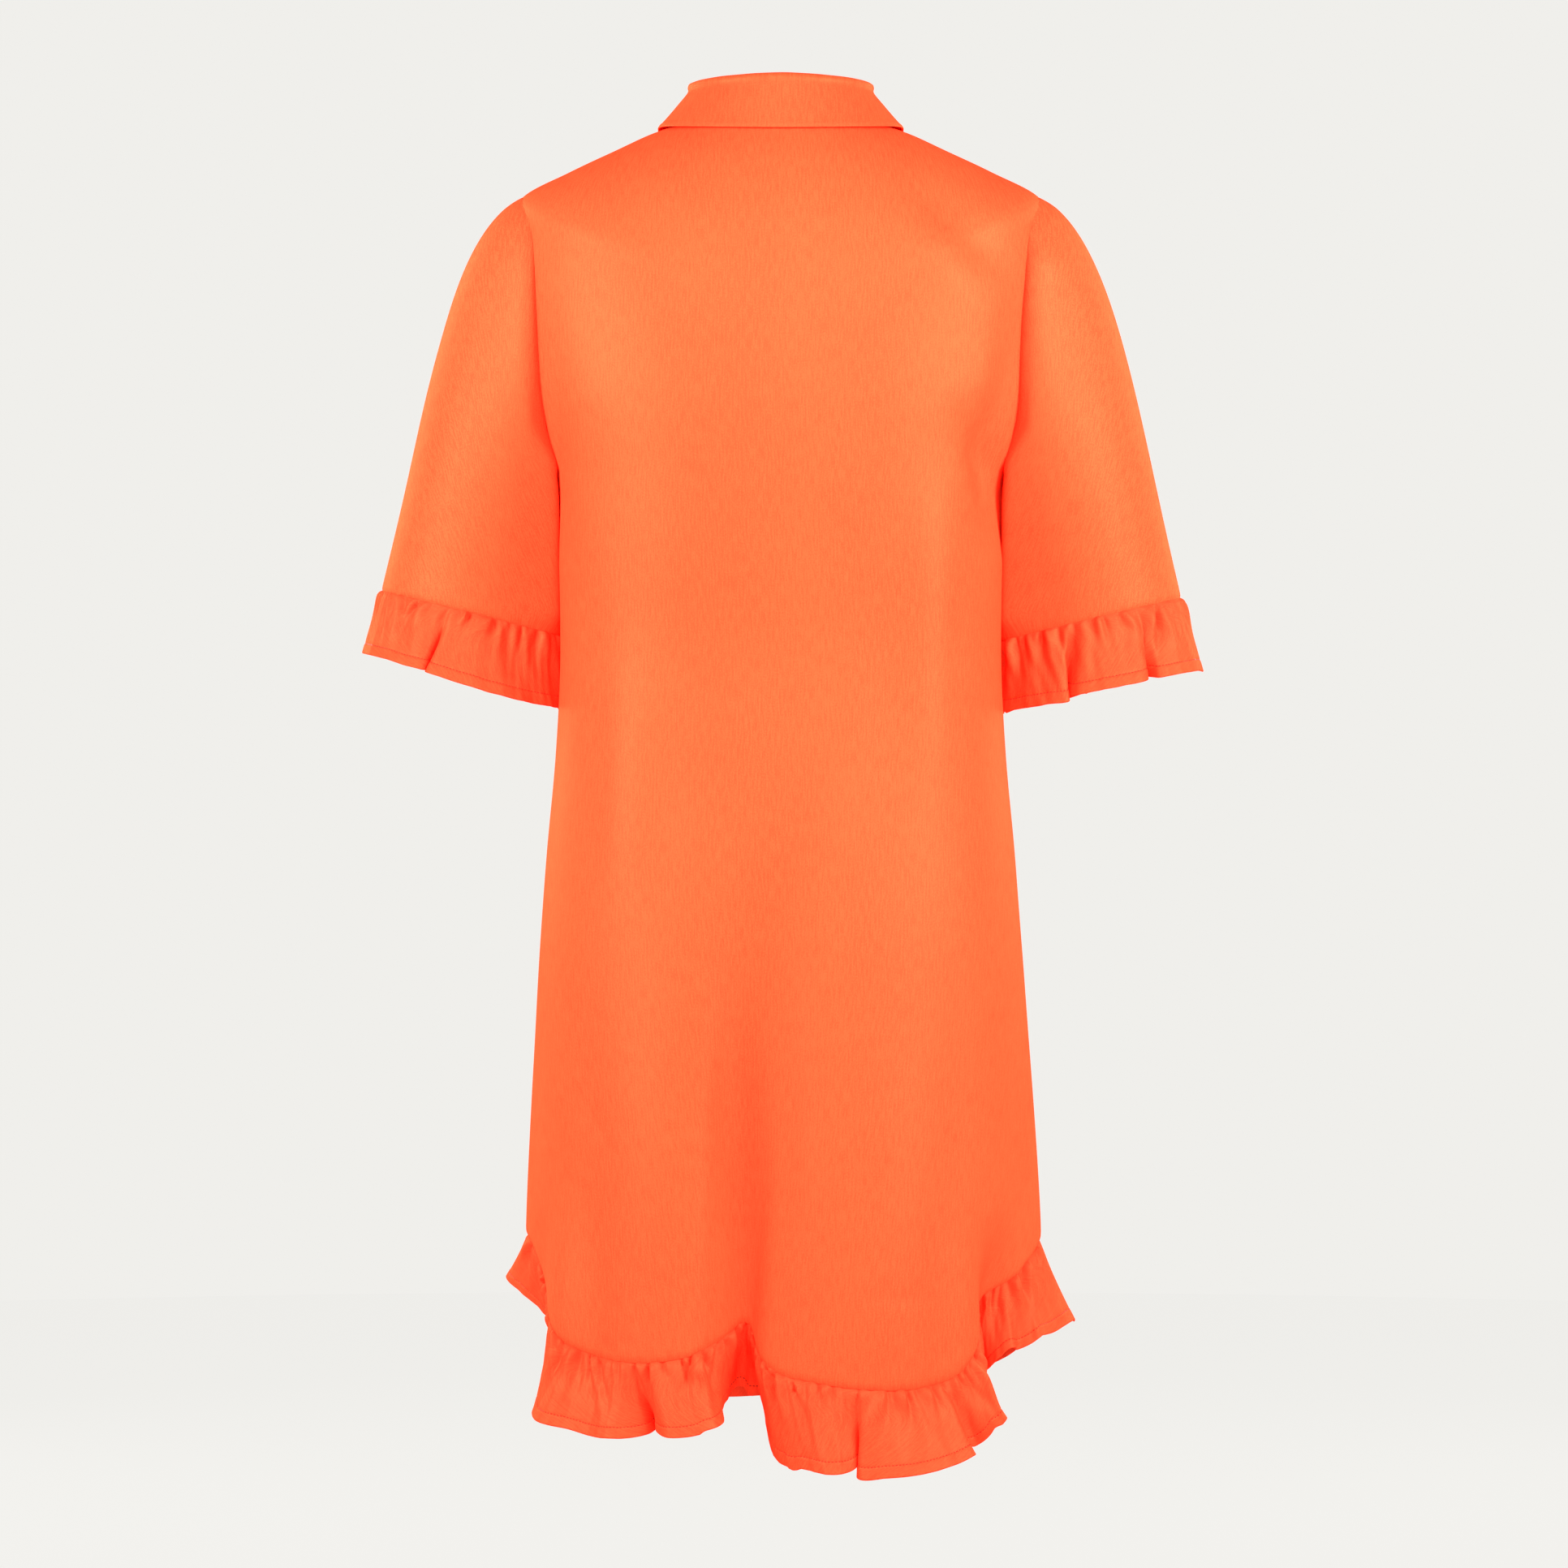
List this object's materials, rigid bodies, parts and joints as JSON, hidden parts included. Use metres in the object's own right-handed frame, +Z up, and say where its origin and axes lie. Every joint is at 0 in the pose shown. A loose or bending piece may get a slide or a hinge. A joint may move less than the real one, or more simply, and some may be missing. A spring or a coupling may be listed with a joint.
{
  "type": "shirt dress",
  "caption": "Short-sleeved satin shirt dress with a folded collar, buttoned front band, and gathered ruffles round the cuffs and the curved shirt-tail hem, in its worn form.",
  "frame": {"origin": "on the middle line of the dress, level with the shoulders at the neck", "axes": "+Z up along the dress, front faces -Y, the wearer's left side is +X"},
  "size_m": [0.6244, 0.3204, 1.0185],
  "materials": {
    "satin": "satin-backed crepe, soft sheen",
    "button": "semi-matt, dyed to match"
  },
  "bodies": {
    "root": {"back": "satin", "front_left": "satin", "front_right": "satin", "button_band": "satin", "sleeve_left": "satin", "sleeve_right": "satin", "cuff_ruffle_left": "satin", "cuff_ruffle_right": "satin", "hem_ruffle_back": "satin", "hem_ruffle_front_left": "satin", "hem_ruffle_front_right": "satin", "collar": "satin", "collar_stand": "satin", "button_1": "button", "button_2": "button", "button_3": "button", "button_4": "button", "button_5": "button", "button_6": "button", "button_7": "button", "button_8": "button", "button_9": "button"}
  },
  "joints": []
}
